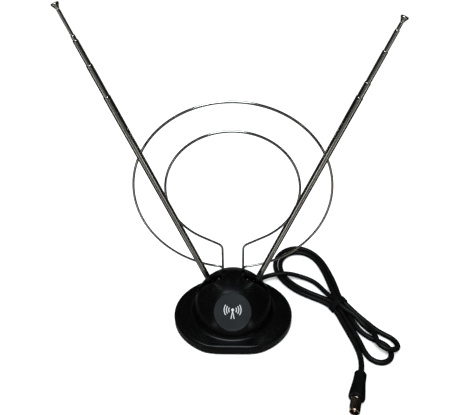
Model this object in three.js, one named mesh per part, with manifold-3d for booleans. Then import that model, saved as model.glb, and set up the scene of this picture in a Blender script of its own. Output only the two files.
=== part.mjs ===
// Rabbit ears television antenna: a weighted base with a domed cover, two telescopic ears on hinges,
// two wire loops, and a coaxial lead tied in a hank. Millimetres, +X right, +Y back, +Z up.
// The origin is on the floor under the middle of the base.
import * as THREE from 'three';
import { mergeVertices } from 'three/addons/utils/BufferGeometryUtils.js';
import Module from 'manifold-3d';

const wasm = await Module();
wasm.setup();

// ---------------------------------------------------------------- driving dimensions
const WALL = 2.2;

const PLATE = {
  halfWidth: 61, halfDepth: 50.5, flatAt: 47, bottom: 1.0, top: 11.5, edgeRadius: 3,
};
const DOME = { centreY: 4.1, radius: 41.2, height: 42.2, footFillet: 3 };

const FLOOR_COVER = { inset: 2.5, bottom: 1.6, top: 4.0 };
const FOOT = { radius: 5, height: 2.4, x: 37, y: 26 };
const BASE_SCREW = { x: 49, y: 14, headRadius: 2.8, headHeight: 1.2, shankRadius: 1.1, length: 6 };

const BADGE = { radius: 18.2, thickness: 1.2, elevation: 41, planeDistance: 37.3, proud: 0.3 };

const HINGE = { x: 15, y: 9, z: 22, leanLeft: 20.25, leanRight: 20.65, leanMax: 65 };
const SLOT_WIDTH = 8.8;
const SLOT_MARGIN = 0.9;

const BRACKET = {
  sheet: 1.2, width: 9, bottom: 12, tongueGap: 0.4, flangeFront: -2.5, screwY: 1.2,
};
const KNUCKLE = { eyeRadius: 3.6, tongue: 3, collarStart: 6, collarEnd: 9, plugEnd: 16 };

// Telescopic sections, from the outside in. pull is how far each one stands out of the one before.
const SIDES = 12;
const TUBES = [
  { radius: 3.0, bore: 2.72 },
  { radius: 2.6, bore: 2.32 },
  { radius: 2.2, bore: 1.92 },
  { radius: 1.8, bore: 1.5 },
];
const TIP_RADIUS = 1.35;
const TUBE_1_START = 9.3;
const TUBE_1_END = 235;
const SECTION_LENGTHS = [212, 208, 204, 200];
const PULL_LEFT = [26.2, 19.3, 3.5, 19.0];
const PULL_RIGHT = [12.2, 25.0, 15.9, 5.3];
const BUSH_LENGTH = 6;
const CAP = { radius: 3.0, height: 4.2 };

const WIRE_RADIUS = 1.15;
const OUTER_LOOP = { radius: 89.7, centreZ: 143.2, y: 20.2, leaveAt: 14, stemBend: 5 };
const INNER_LOOP = { radius: 60.3, centreZ: 147.9, y: 17.6, leaveAt: 29.6, stemBend: 8 };
const STEM_X = 10.2;
const STEM_END_Z = 33.6;

const BOARD = { halfWidth: 18, front: 14.2, back: 30, bottom: 30, top: 31.6 };
const BOARD_POST = { x: 15, y: 26, radius: 2.6 };
const TERMINAL = { halfWidth: 3.5, front: 15.3, back: 22.6, height: 8 };

const CORD_RADIUS = 2.65;
const CORD_EXIT = { x: 26, y: 45.6, z: 6.6, heading: 48 };
const GROMMET = { holeRadius: 4.2, radius: 3.9, endRadius: 3.3, bore: 2.95, inside: 5, outside: 8 };

const LEAD = [
  [31.6, 51.8, 6.6], [35.2, 54.0, 6.7], [38.4, 55.3, 6.9], [44.7, 56.8, 7.6], [51.1, 57.6, 8.4],
  [57.6, 58.1, 8.6], [64.0, 58.5, 8.1], [70.3, 58.5, 6.0], [76.5, 57.7, 4.1], [82.7, 55.8, 3.0],
  [88.2, 52.6, 2.8], [93.0, 48.1, 2.8], [96.8, 42.9, 2.8], [100.2, 37.3, 2.8], [103.7, 31.8, 2.8],
  [106.4, 28.0, 2.8],
];
const TAIL = [
  [110.7, 0.8, 2.8], [112.3, -4.8, 2.8], [114.1, -11.1, 2.8], [115.9, -17.3, 2.8], [117.7, -23.6, 2.8],
  [119.5, -29.8, 2.8], [121.0, -36.1, 2.8], [122.2, -42.5, 2.8], [122.7, -49.0, 2.9],
  [122.3, -55.5, 3.6], [121.1, -61.7, 5.0], [119.4, -67.6, 6.8], [118.4, -70.3, 7.3],
];

// The two turns of the upper lobe, each from the right of the tie round to its left.
const OUTER_TURN = [
  [113.9, 38.9], [112.6, 51.7], [110.3, 64.5], [107.2, 77.1], [102.2, 89.2], [94.8, 99.8],
  [84.1, 107.0], [71.3, 107.7], [60.0, 101.6], [52.2, 91.2], [48.8, 78.8], [50.1, 65.9],
  [55.2, 54.0], [62.9, 43.5], [72.6, 34.8], [83.6, 27.9], [94.9, 21.5],
];
const INNER_TURN = [
  [108.4, 39.9], [107.0, 52.8], [104.6, 65.5], [101.1, 78.1], [95.4, 89.7], [85.6, 98.1],
  [72.9, 99.6], [61.7, 93.5], [55.5, 82.3], [55.2, 69.4], [59.6, 57.2], [67.4, 46.8],
  [77.3, 38.4], [88.3, 31.5], [97.0, 26.4],
];
const LOBE = { bottom: 0.1, top: 5.2, margin: 2.9 };

const BUNDLE = { x: 111.3, y: 13.6, heading: -62, length: 13, halfWidth: 9.2, height: 11.4 };
const TIE = { halfLength: 3.5, thickness: 1.2, gap: 0.3 };

// Outline of the two folds below the tie, along and across their own heading.
const LOWER_HANK = { x: 112, y: 14, heading: -55, bottom: 0.1, top: 10.7 };
const LOWER_OUTLINE = [
  [12, -6.2], [14.5, -7.0], [21.1, -9.2], [27.2, -11.4], [33.4, -13.4], [39.4, -15.6], [45.6, -18.0],
  [51.5, -20.4], [57.7, -23.0], [64.5, -23.9], [72.3, -21.6], [77.6, -15.9], [79.3, -7.9],
  [76.9, -1.0], [76.0, 4.0], [74.2, 10.9], [69.0, 15.6], [66.6, 16.6], [60.3, 17.3], [54.0, 15.4],
  [48.0, 13.4], [35.0, 12.2], [22.2, 11.0], [12, 8.6],
];

const PLUG = {
  rear: [118.2, -70.8, 7.5], heading: -109.2, length: 27.4, sleeveEnd: 41, sleeveRadius: 4.75,
  sleeveBore: 4.1, seatDepth: 8, gap: 0.3, pinRadius: 1.15,
};

// ---------------------------------------------------------------- materials
function metal(color, roughness) {
  return new THREE.MeshStandardMaterial({ color, roughness, metalness: 1 });
}

function plastic(color, roughness) {
  return new THREE.MeshStandardMaterial({ color, roughness, metalness: 0 });
}

const blackPlastic = () => plastic(0x17181a, 0.45);
const badgePlastic = () => plastic(0x26292c, 0.4);
const chrome = () => metal(0xc9c6c0, 0.12);
const zincSteel = () => metal(0xa9abad, 0.35);
const brass = () => metal(0xc09a52, 0.3);
const rubber = () => plastic(0x121212, 0.8);
const cordJacket = () => plastic(0x141312, 0.5);
const boardLaminate = () => plastic(0x8c7a3c, 0.6);
const ferrite = () => plastic(0x2a2a2d, 0.7);
const castIron = () => metal(0x4b4a48, 0.7);

// ---------------------------------------------------------------- solids and booleans
function solid(geometry) {
  const bare = geometry.index ? geometry.toNonIndexed() : geometry.clone();
  bare.deleteAttribute('normal');
  bare.deleteAttribute('uv');
  const merged = mergeVertices(bare, 1e-4);
  return new wasm.Manifold(new wasm.Mesh({
    numProp: 3,
    vertProperties: new Float32Array(merged.attributes.position.array),
    triVerts: new Uint32Array(merged.index.array),
  }));
}

function geometryOf(manifold) {
  const mesh = manifold.getMesh();
  const geometry = new THREE.BufferGeometry();
  geometry.setAttribute('position', new THREE.BufferAttribute(new Float32Array(mesh.vertProperties), 3));
  geometry.setIndex(new THREE.BufferAttribute(new Uint32Array(mesh.triVerts), 1));
  geometry.computeVertexNormals();
  return geometry;
}

// A round bar on the Z axis, from low to high.
function barZ(radius, low, high, sides = 20) {
  const geometry = new THREE.CylinderGeometry(radius, radius, high - low, sides);
  return geometry.rotateX(Math.PI / 2).translate(0, 0, (low + high) / 2);
}

// A round bar along the Y axis, from low to high.
function barY(radius, low, high, sides = 20) {
  const geometry = new THREE.CylinderGeometry(radius, radius, high - low, sides);
  return geometry.translate(0, (low + high) / 2, 0);
}

function box(low, high) {
  const size = high.map((value, axis) => value - low[axis]);
  const middle = high.map((value, axis) => (value + low[axis]) / 2);
  return new THREE.BoxGeometry(...size).translate(...middle);
}

// A turned piece on the Z axis. The profile is a list of [radius, z] pairs, inside on its left going up.
function turned(profile, sides) {
  const points = profile.map(([radius, z]) => new THREE.Vector2(radius, z));
  return new THREE.LatheGeometry(points, sides).rotateX(Math.PI / 2).rotateZ(Math.PI / sides);
}

function extrude(shape, low, high) {
  const options = { depth: high - low, bevelEnabled: false, curveSegments: 8 };
  return new THREE.ExtrudeGeometry(shape, options).translate(0, 0, low);
}

// A round tube along a curve, closed at both ends.
function cordAlong(curve, radius, steps, sides = 8) {
  const section = new THREE.Shape();
  for (let side = 0; side < sides; side += 1) {
    const angle = (2 * Math.PI * side) / sides;
    const point = [radius * Math.cos(angle), radius * Math.sin(angle)];
    if (side === 0) section.moveTo(...point);
    else section.lineTo(...point);
  }
  section.closePath();
  return new THREE.ExtrudeGeometry(section, { steps, extrudePath: curve, bevelEnabled: false });
}

function smooth(points) {
  const vectors = points.map((point) => new THREE.Vector3(...point));
  return new THREE.CatmullRomCurve3(vectors, false, 'centripetal');
}

const antenna = new THREE.Group();

function add(name, geometry, material, parent = antenna) {
  const mesh = new THREE.Mesh(geometry, material);
  mesh.name = name;
  parent.add(mesh);
  return mesh;
}

function addSolid(name, manifold, material, parent = antenna) {
  return add(name, geometryOf(manifold), material, parent);
}

// ---------------------------------------------------------------- base
// Outline of the base: an ellipse with its front and back cut straight, drawn inset by some amount.
function baseOutline(inset, steps = 16) {
  const a = PLATE.halfWidth - inset;
  const b = PLATE.halfDepth - inset;
  const flat = Math.asin((PLATE.flatAt - inset) / b);
  const points = [];
  for (const turn of [0, Math.PI]) {
    for (let step = 0; step <= steps; step += 1) {
      const angle = turn - flat + (2 * flat * step) / steps;
      points.push(new THREE.Vector2(a * Math.cos(angle), b * Math.sin(angle)));
    }
  }
  return new THREE.Shape(points);
}

// Half ellipse of the dome, from its top down to a height above the plate.
function domeArc(radius, height, stopAbove, steps) {
  const stop = Math.asin(stopAbove / height);
  const points = [];
  for (let step = 0; step <= steps; step += 1) {
    const angle = Math.PI / 2 + ((stop - Math.PI / 2) * step) / steps;
    const r = step === 0 ? 0 : radius * Math.cos(angle);
    points.push([r, PLATE.top + height * Math.sin(angle)]);
  }
  return points;
}

function domeOuter() {
  const fillet = DOME.footFillet;
  const profile = domeArc(DOME.radius, DOME.height, fillet, 9);
  const wallRadius = profile[profile.length - 1][0];
  for (const degrees of [30, 60, 90]) {
    const angle = THREE.MathUtils.degToRad(degrees);
    profile.push([
      wallRadius + fillet * (1 - Math.cos(angle)),
      PLATE.top + fillet * (1 - Math.sin(angle)),
    ]);
  }
  profile.push([wallRadius + fillet, PLATE.top - 1], [0, PLATE.top - 1]);
  return solid(turned(profile.reverse(), 36).translate(0, DOME.centreY, 0));
}

function domeInner() {
  const profile = domeArc(DOME.radius - WALL, DOME.height - WALL, 0.01, 7);
  profile.push([DOME.radius - WALL, PLATE.top - WALL - 0.4], [0, PLATE.top - WALL - 0.4]);
  return solid(turned(profile.reverse(), 28).translate(0, DOME.centreY, 0));
}

// The badge plane stands off from the dome's centre along a line that rises at the badge's elevation.
function onBadgePlane(geometry) {
  const tilt = THREE.MathUtils.degToRad(90 - BADGE.elevation);
  return geometry.rotateX(tilt).translate(0, DOME.centreY, PLATE.top);
}

// The room that an ear sweeps from upright to its widest lean, on the right-hand side.
function earSlot() {
  const lean = THREE.MathUtils.degToRad(HINGE.leanMax);
  const reach = TUBES[0].radius + SLOT_MARGIN;
  const inner = HINGE.x - reach;
  const lowX = HINGE.x + reach * Math.cos(lean);
  const lowZ = HINGE.z - reach * Math.sin(lean);
  const far = 60;
  const points = [
    [inner, lowZ], [lowX, lowZ],
    [lowX + far * Math.sin(lean), lowZ + far * Math.cos(lean)],
    [lowX + far * Math.sin(lean), 80], [inner, 80],
  ].map(([x, z]) => new THREE.Vector2(x, z));
  const slab = extrude(new THREE.Shape(points), -SLOT_WIDTH / 2, SLOT_WIDTH / 2);
  return solid(slab.rotateX(Math.PI / 2).translate(0, HINGE.y, 0));
}

// A hole with round ends for the two loop wires of one side.
function loopHole(radius, low, high) {
  const shape = new THREE.Shape();
  shape.absarc(STEM_X, OUTER_LOOP.y, radius, 0, Math.PI, false);
  shape.absarc(STEM_X, INNER_LOOP.y, radius, Math.PI, 2 * Math.PI, false);
  shape.closePath();
  return solid(extrude(shape, low, high));
}

function cordHole() {
  const heading = THREE.MathUtils.degToRad(CORD_EXIT.heading);
  const bar = barY(GROMMET.holeRadius, -14, 10, 20);
  return solid(bar.rotateZ(heading - Math.PI / 2).translate(CORD_EXIT.x, CORD_EXIT.y, CORD_EXIT.z));
}

function mirrored(manifold) {
  return manifold.mirror([1, 0, 0]);
}

function screwPlaces() {
  return [[-1, -1], [1, -1], [1, 1], [-1, 1]].map(([x, y]) => [x * BASE_SCREW.x, y * BASE_SCREW.y]);
}

function footPlaces() {
  return [[-1, -1], [1, -1], [1, 1], [-1, 1]].map(([x, y]) => [x * FOOT.x, y * FOOT.y]);
}

function topCover() {
  const radius = PLATE.edgeRadius;
  const slab = new THREE.ExtrudeGeometry(baseOutline(0), {
    depth: PLATE.top, bevelEnabled: true, bevelThickness: radius, bevelSize: radius,
    bevelOffset: -radius, bevelSegments: 2,
  }).translate(0, 0, -radius);
  const prism = solid(extrude(baseOutline(0.05), 0, 80));
  let outer = solid(slab).add(domeOuter().intersect(prism));
  outer = outer.subtract(solid(box([-90, -90, -20], [90, 90, PLATE.bottom])));

  const pad = onBadgePlane(barZ(BADGE.radius + 2.6, BADGE.planeDistance - 3.6, 60, 24));
  let hollow = solid(extrude(baseOutline(WALL), -5, PLATE.top - WALL)).add(domeInner());
  hollow = hollow.subtract(solid(pad));
  for (const [x, y] of screwPlaces()) {
    hollow = hollow.subtract(solid(barZ(3.4, FLOOR_COVER.top, 20, 12).translate(x, y, 0)));
  }

  let cover = outer.subtract(hollow);
  const recess = onBadgePlane(barZ(BADGE.radius + 0.35, BADGE.planeDistance - BADGE.thickness, 60, 32));
  cover = cover.subtract(solid(recess));
  const cuts = [earSlot(), loopHole(WIRE_RADIUS + 0.5, 30, 70)];
  for (const cut of cuts) {
    cover = cover.subtract(cut).subtract(mirrored(cut));
  }
  for (const [x, y] of screwPlaces()) {
    const pilot = barZ(BASE_SCREW.shankRadius + 0.25, 0, PLATE.top - WALL, 10);
    cover = cover.subtract(solid(pilot.translate(x, y, 0)));
  }
  return cover.subtract(cordHole());
}

function pillar(side) {
  const half = BRACKET.width / 2 - 0.5;
  const x = side * HINGE.x;
  const back = HINGE.y + KNUCKLE.tongue / 2 + BRACKET.tongueGap + BRACKET.sheet;
  const body = box(
    [x - half, BRACKET.flangeFront, FLOOR_COVER.top - 0.5], [x + half, back, BRACKET.bottom],
  );
  const pilot = barZ(1.4, FLOOR_COVER.top + 1, BRACKET.bottom + 1, 12).translate(x, BRACKET.screwY, 0);
  return solid(body).subtract(solid(pilot));
}

function bottomCover() {
  let cover = solid(extrude(baseOutline(FLOOR_COVER.inset), FLOOR_COVER.bottom, FLOOR_COVER.top));
  for (const side of [-1, 1]) {
    const post = barZ(BOARD_POST.radius, FLOOR_COVER.top - 0.5, BOARD.bottom, 14);
    const pilot = barZ(1.2, BOARD.bottom - 7, BOARD.bottom + 1, 10);
    const place = [side * BOARD_POST.x, BOARD_POST.y, 0];
    cover = cover.add(pillar(side)).add(solid(post.translate(...place)));
    cover = cover.subtract(solid(pilot.translate(...place)));
  }
  for (const [x, y] of footPlaces()) {
    cover = cover.subtract(solid(barZ(FOOT.radius + 0.3, 0, FOOT.height, 16).translate(x, y, 0)));
  }
  for (const [x, y] of screwPlaces()) {
    const hole = barZ(BASE_SCREW.shankRadius + 0.4, 0, 9, 10).translate(x, y, 0);
    const head = barZ(BASE_SCREW.headRadius + 0.4, 0, FLOOR_COVER.bottom + 1.4, 12).translate(x, y, 0);
    cover = cover.subtract(solid(hole)).subtract(solid(head));
  }
  return cover.subtract(cordHole());
}

function screw(headRadius, headHeight, shankRadius, length) {
  return turned([
    [0, -length], [shankRadius, -length], [shankRadius, 0],
    [headRadius, 0], [headRadius, headHeight * 0.5], [headRadius * 0.7, headHeight], [0, headHeight],
  ], 12);
}

function addBase() {
  addSolid('top_cover', topCover(), blackPlastic());
  addSolid('bottom_cover', bottomCover(), blackPlastic());

  const badge = turned([
    [0, BADGE.planeDistance - BADGE.thickness + 0.3],
    [BADGE.radius, BADGE.planeDistance - BADGE.thickness + 0.3],
    [BADGE.radius, BADGE.planeDistance],
    [BADGE.radius - 0.4, BADGE.planeDistance + BADGE.proud],
    [0, BADGE.planeDistance + BADGE.proud],
  ], 32);
  add('badge_disc', onBadgePlane(badge), badgePlastic());

  const weight = new THREE.Shape();
  weight.absarc(36, -32, 4, -Math.PI / 2, 0, false);
  weight.absarc(36, -10, 4, 0, Math.PI / 2, false);
  weight.absarc(-36, -10, 4, Math.PI / 2, Math.PI, false);
  weight.absarc(-36, -32, 4, Math.PI, 1.5 * Math.PI, false);
  weight.closePath();
  add('ballast_weight', extrude(weight, FLOOR_COVER.top, FLOOR_COVER.top + 4.5), castIron());

  footPlaces().forEach(([x, y], index) => {
    const foot = barZ(FOOT.radius, 0, FOOT.height, 16).translate(x, y, 0);
    add(`rubber_foot_${index + 1}`, foot, rubber());
  });
  screwPlaces().forEach(([x, y], index) => {
    const { headRadius, headHeight, shankRadius, length } = BASE_SCREW;
    const turnedScrew = screw(headRadius, headHeight, shankRadius, length).rotateX(Math.PI);
    add(`base_screw_${index + 1}`, turnedScrew.translate(x, y, FLOOR_COVER.bottom + 1.3), zincSteel());
  });
}

// ---------------------------------------------------------------- hinge hardware and circuit board
function bracket(side) {
  const inner = KNUCKLE.tongue / 2 + BRACKET.tongueGap;
  const outer = inner + BRACKET.sheet;
  const half = BRACKET.width / 2;
  const x = side * HINGE.x;
  const base = BRACKET.bottom;
  const profile = new THREE.Shape();
  profile.moveTo(-half, base);
  profile.lineTo(half, base);
  profile.lineTo(half, HINGE.z);
  profile.absarc(0, HINGE.z, half, 0, Math.PI, false);
  profile.closePath();
  const slab = extrude(profile, -outer, outer).rotateX(Math.PI / 2).translate(x, HINGE.y, 0);
  const gap = box([x - 20, HINGE.y - inner, base + BRACKET.sheet], [x + 20, HINGE.y + inner, 60]);
  const flange = box(
    [x - half, BRACKET.flangeFront, base], [x + half, HINGE.y - inner, base + BRACKET.sheet],
  );
  const pivot = barY(1.75, -10, 30, 14).translate(x, 0, HINGE.z);
  const screwHole = barZ(1.5, 0, 40, 12).translate(x, BRACKET.screwY, 0);
  return solid(slab).subtract(solid(gap)).add(solid(flange))
    .subtract(solid(pivot)).subtract(solid(screwHole));
}

function hexagon(radius) {
  const points = [];
  for (let corner = 0; corner < 6; corner += 1) {
    const angle = (Math.PI * corner) / 3;
    points.push(new THREE.Vector2(radius * Math.cos(angle), radius * Math.sin(angle)));
  }
  return new THREE.Shape(points);
}

function ring(outerShape, holeRadius, low, high) {
  const hole = new THREE.Path();
  hole.absarc(0, 0, holeRadius, 0, 2 * Math.PI, true);
  outerShape.holes.push(hole);
  return extrude(outerShape, low, high).rotateX(-Math.PI / 2);
}

function disc(radius) {
  const shape = new THREE.Shape();
  shape.absarc(0, 0, radius, 0, 2 * Math.PI, false);
  return shape;
}

function addHingeHardware(side, word) {
  const x = side * HINGE.x;
  const front = HINGE.y - KNUCKLE.tongue / 2 - BRACKET.tongueGap - BRACKET.sheet;
  const back = HINGE.y + KNUCKLE.tongue / 2 + BRACKET.tongueGap + BRACKET.sheet;
  addSolid(`${word}_pivot_bracket`, bracket(side), zincSteel());

  const bracketScrew = screw(2.2, 1.5, 1.15, 6);
  bracketScrew.translate(x, BRACKET.screwY, BRACKET.bottom + BRACKET.sheet);
  add(`${word}_bracket_screw`, bracketScrew, zincSteel());

  const pivotScrew = screw(2.8, 2, 1.45, 11.4).rotateX(Math.PI / 2);
  add(`${word}_pivot_screw`, pivotScrew.translate(x, front - 0.9, HINGE.z), zincSteel());

  const washer = ring(disc(2.6), 1.75, front - 0.8, front - 0.1).translate(x, 0, HINGE.z);
  add(`${word}_spring_washer`, washer, zincSteel());

  const nut = ring(hexagon(3.3), 1.7, back + 0.1, back + 2.5).translate(x, 0, HINGE.z);
  add(`${word}_pivot_nut`, nut, brass());

  const feed = smooth([
    [side * 15.0, back + 1.1, 16.5], [side * 13.2, back + 3.4, 18.2],
    [side * 10.4, back + 5.8, 22.5], [side * 8.6, 20, 27.0], [side * 8.4, 20.6, 29.7],
  ]);
  add(`${word}_feed_wire`, cordAlong(feed, 0.7, 10, 6), cordJacket());
}

function addBoard() {
  const { halfWidth, front, back, bottom, top } = BOARD;
  let board = solid(box([-halfWidth, front, bottom], [halfWidth, back, top]));
  for (const side of [-1, 1]) {
    const hole = barZ(1.4, 0, 60, 12).translate(side * BOARD_POST.x, BOARD_POST.y, 0);
    board = board.subtract(solid(hole));
  }
  addSolid('balun_board', board, boardLaminate());

  const core = new THREE.Shape();
  core.absarc(2.6, 0, 3.4, -Math.PI / 2, Math.PI / 2, false);
  core.absarc(-2.6, 0, 3.4, Math.PI / 2, 1.5 * Math.PI, false);
  core.closePath();
  for (const x of [-2.6, 2.6]) {
    const hole = new THREE.Path();
    hole.absarc(x, 0, 1.4, 0, 2 * Math.PI, true);
    core.holes.push(hole);
  }
  const ferriteCore = extrude(core, -3.5, 3.5).rotateX(Math.PI / 2).translate(0, 22, top + 3.4);
  add('balun_core', ferriteCore, ferrite());

  for (const [side, word] of [[-1, 'left'], [1, 'right']]) {
    const x = side * STEM_X;
    const block = box(
      [x - TERMINAL.halfWidth, TERMINAL.front, top],
      [x + TERMINAL.halfWidth, TERMINAL.back, top + TERMINAL.height],
    );
    let bore = loopHole(WIRE_RADIUS + 0.25, 33, 60);
    if (side < 0) bore = mirrored(bore);
    const tap = barY(1.2, OUTER_LOOP.y, 40, 12).translate(x, 0, top + 4.5);
    addSolid(`${word}_loop_terminal`, solid(block).subtract(bore).subtract(solid(tap)), brass());

    const clamp = screw(2.0, 1.4, 0.95, 0.9).rotateX(-Math.PI / 2);
    add(`${word}_terminal_screw`, clamp.translate(x, TERMINAL.back, top + 4.5), zincSteel());

    const boardScrew = screw(2.3, 1.4, 0.95, 6).translate(side * BOARD_POST.x, BOARD_POST.y, top);
    add(`${word}_board_screw`, boardScrew, zincSteel());
  }
}

// ---------------------------------------------------------------- telescopic ears
function knuckle() {
  const { eyeRadius, tongue, collarStart, collarEnd, plugEnd } = KNUCKLE;
  const eye = solid(barY(eyeRadius, -tongue / 2, tongue / 2, 18));
  const neck = box([-2.6, -tongue / 2, 0], [2.6, tongue / 2, collarStart + 0.5]);
  const collar = barZ(3, collarStart, collarEnd, 16);
  const plug = barZ(2.4, collarEnd - 0.5, plugEnd, 16);
  return eye.add(solid(neck)).add(solid(collar)).add(solid(plug))
    .subtract(solid(barY(1.75, -5, 5, 14)));
}

// A tube with a rolled-in lip at its top. All but the outermost have a wider bush at their lower end.
function tube(low, high, { radius, bore }, lipBore, bushRadius) {
  const lip = 1.2;
  const profile = [[bore, low], [bushRadius ?? radius, low]];
  if (bushRadius) profile.push([bushRadius, low + BUSH_LENGTH], [radius, low + BUSH_LENGTH + 0.4]);
  profile.push(
    [radius, high - 0.5], [radius - 0.25, high], [lipBore, high], [lipBore, high - lip],
    [bore, high - lip - 0.4], [bore, low],
  );
  return turned(profile, SIDES);
}

function tipRod(low, high, bushRadius) {
  return turned([
    [0, low], [bushRadius, low], [bushRadius, low + BUSH_LENGTH], [TIP_RADIUS, low + BUSH_LENGTH + 0.4],
    [TIP_RADIUS, high], [0, high],
  ], SIDES);
}

// A small flared button that stops the tip from sliding into its tube.
function tipCap(low) {
  const { radius, height } = CAP;
  return turned([
    [0, low], [TIP_RADIUS + 0.2, low], [TIP_RADIUS + 0.5, low + 0.8],
    [radius - 0.4, low + height - 1.5], [radius, low + height - 1.0], [radius, low + height - 0.5],
    [radius - 0.7, low + height], [0, low + height],
  ], 14);
}

function addEar(side, word, lean, pulls) {
  const ear = new THREE.Group();
  ear.position.set(side * HINGE.x, HINGE.y, HINGE.z);
  ear.rotation.y = side * THREE.MathUtils.degToRad(lean);
  antenna.add(ear);

  addSolid(`${word}_ear_knuckle`, knuckle(), zincSteel(), ear);
  const slide = 0.12;
  const outermost = tube(TUBE_1_START, TUBE_1_END, TUBES[0], TUBES[1].radius + slide, null);
  add(`${word}_tube_1`, outermost, chrome(), ear);
  let top = TUBE_1_END;
  for (let index = 0; index < 4; index += 1) {
    top += pulls[index];
    const low = top - SECTION_LENGTHS[index];
    const bush = TUBES[index].bore - slide;
    if (index < 3) {
      const inner = index < 2 ? TUBES[index + 2].radius : TIP_RADIUS;
      const section = tube(low, top, TUBES[index + 1], inner + slide, bush);
      add(`${word}_tube_${index + 2}`, section, chrome(), ear);
    } else {
      add(`${word}_tip_rod`, tipRod(low, top, bush), chrome(), ear);
      add(`${word}_tip_cap`, tipCap(top + 0.3), chrome(), ear);
    }
  }
}

// ---------------------------------------------------------------- wire loops
// One loop: a circle that opens at the bottom, where its two ends bend down into the dome.
function loopPath({ radius, centreZ, y, leaveAt, stemBend }) {
  const open = Math.asin(leaveAt / radius);
  const leave = new THREE.Vector3(leaveAt, y, centreZ - radius * Math.cos(open));
  const corner = new THREE.Vector3(STEM_X, y, leave.z - (leaveAt - STEM_X) * Math.tan(open));
  const turn = Math.PI / 2 - open;
  const back = stemBend * Math.tan(turn / 2);
  const along = new THREE.Vector3(Math.cos(open), 0, Math.sin(open));
  const bendStart = corner.clone().addScaledVector(along, back);
  const bendEnd = corner.clone().add(new THREE.Vector3(0, 0, -back));
  const right = new THREE.CurvePath();
  right.add(new THREE.LineCurve3(new THREE.Vector3(STEM_X, y, STEM_END_Z), bendEnd));
  right.add(new THREE.QuadraticBezierCurve3(bendEnd, corner, bendStart));
  if (bendStart.distanceTo(leave) > 0.5 && bendStart.x < leave.x) {
    right.add(new THREE.LineCurve3(bendStart, leave));
  }
  const half = right.getSpacedPoints(24).slice(0, -1);
  const points = half.map((p) => p.clone());
  const arcSteps = 60;
  for (let step = 0; step <= arcSteps; step += 1) {
    const angle = -Math.PI / 2 + open + ((2 * Math.PI - 2 * open) * step) / arcSteps;
    points.push(new THREE.Vector3(radius * Math.cos(angle), y, centreZ + radius * Math.sin(angle)));
  }
  for (const p of half.reverse()) {
    points.push(new THREE.Vector3(-p.x, p.y, p.z));
  }
  return new THREE.CatmullRomCurve3(points, false, 'centripetal');
}

function addLoops() {
  add('outer_loop', cordAlong(loopPath(OUTER_LOOP), WIRE_RADIUS, 100, 6), chrome());
  add('inner_loop', cordAlong(loopPath(INNER_LOOP), WIRE_RADIUS, 88, 6), chrome());
}

// ---------------------------------------------------------------- coaxial lead
function addGrommet() {
  const { radius, endRadius, bore, inside, outside } = GROMMET;
  const sleeve = turned([
    [bore, -inside], [radius, -inside], [radius, 2.5], [endRadius + 0.15, outside * 0.7],
    [endRadius, outside], [bore, outside], [bore, -inside],
  ], 16);
  const heading = THREE.MathUtils.degToRad(CORD_EXIT.heading);
  sleeve.rotateX(-Math.PI / 2).rotateZ(heading - Math.PI / 2);
  add('cable_grommet', sleeve.translate(CORD_EXIT.x, CORD_EXIT.y, CORD_EXIT.z), rubber());
}

function addInnerRun() {
  const heading = THREE.MathUtils.degToRad(CORD_EXIT.heading);
  const from = (distance) => [
    CORD_EXIT.x + distance * Math.cos(heading), CORD_EXIT.y + distance * Math.sin(heading), CORD_EXIT.z,
  ];
  const run = smooth([
    from(5), from(-6), from(-12), [9.5, 28.5, 8.0], [3.8, 23.5, 12.5], [0.6, 21.2, 19], [0, 21, 29.6],
  ]);
  add('coax_inner_run', cordAlong(run, CORD_RADIUS, 18), cordJacket());
}

// One edge of the lobe: a turn's centreline moved sideways, to the right for a positive offset.
function turnEdge(points, offset) {
  const curve = smooth(points.map(([x, y]) => [x, y, 0]));
  const edge = [];
  const count = 44;
  for (let step = 0; step <= count; step += 1) {
    const point = curve.getPointAt(step / count);
    const tangent = curve.getTangentAt(step / count);
    edge.push(new THREE.Vector2(point.x + tangent.y * offset, point.y - tangent.x * offset));
  }
  return edge;
}

function turnAbout(geometry, { x, y, heading }) {
  return geometry.rotateZ(THREE.MathUtils.degToRad(heading)).translate(x, y, 0);
}

function rectangle(shape, halfWidth, low, high) {
  shape.moveTo(-halfWidth, low);
  shape.lineTo(halfWidth, low);
  shape.lineTo(halfWidth, high);
  shape.lineTo(-halfWidth, high);
  shape.closePath();
  return shape;
}

function addTie() {
  const { halfWidth, height } = BUNDLE;
  const { halfLength, thickness, gap } = TIE;
  const hole = rectangle(new THREE.Path(), halfWidth + gap, 0.05, height + gap);
  const strap = rectangle(new THREE.Shape(), halfWidth + gap + thickness, 0, height + gap + thickness);
  strap.holes.push(hole);
  const upright = extrude(strap, -halfLength, halfLength).rotateX(Math.PI / 2).rotateZ(Math.PI / 2);
  add('cord_tie', turnAbout(upright, BUNDLE), cordJacket());
}

function addCord() {
  add('cord_lead', cordAlong(smooth(LEAD), CORD_RADIUS, 36), cordJacket());
  add('cord_tail', cordAlong(smooth(TAIL), CORD_RADIUS, 24), cordJacket());

  const { length, halfWidth, height } = BUNDLE;
  const bundle = box([-length / 2, -halfWidth, 0.1], [length / 2, halfWidth, height]);
  add('cord_bundle', turnAbout(bundle, BUNDLE), cordJacket());

  const outside = turnEdge(OUTER_TURN, LOBE.margin);
  const inside = turnEdge(INNER_TURN, -LOBE.margin);
  const lobe = new THREE.Shape(outside.concat(inside.reverse()));
  add('cord_upper_hank', extrude(lobe, LOBE.bottom, LOBE.top), cordJacket());

  const folds = new THREE.Shape(LOWER_OUTLINE.map(([along, across]) => new THREE.Vector2(along, across)));
  const lower = extrude(folds, LOWER_HANK.bottom, LOWER_HANK.top);
  add('cord_lower_hank', turnAbout(lower, LOWER_HANK), cordJacket());
}

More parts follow.
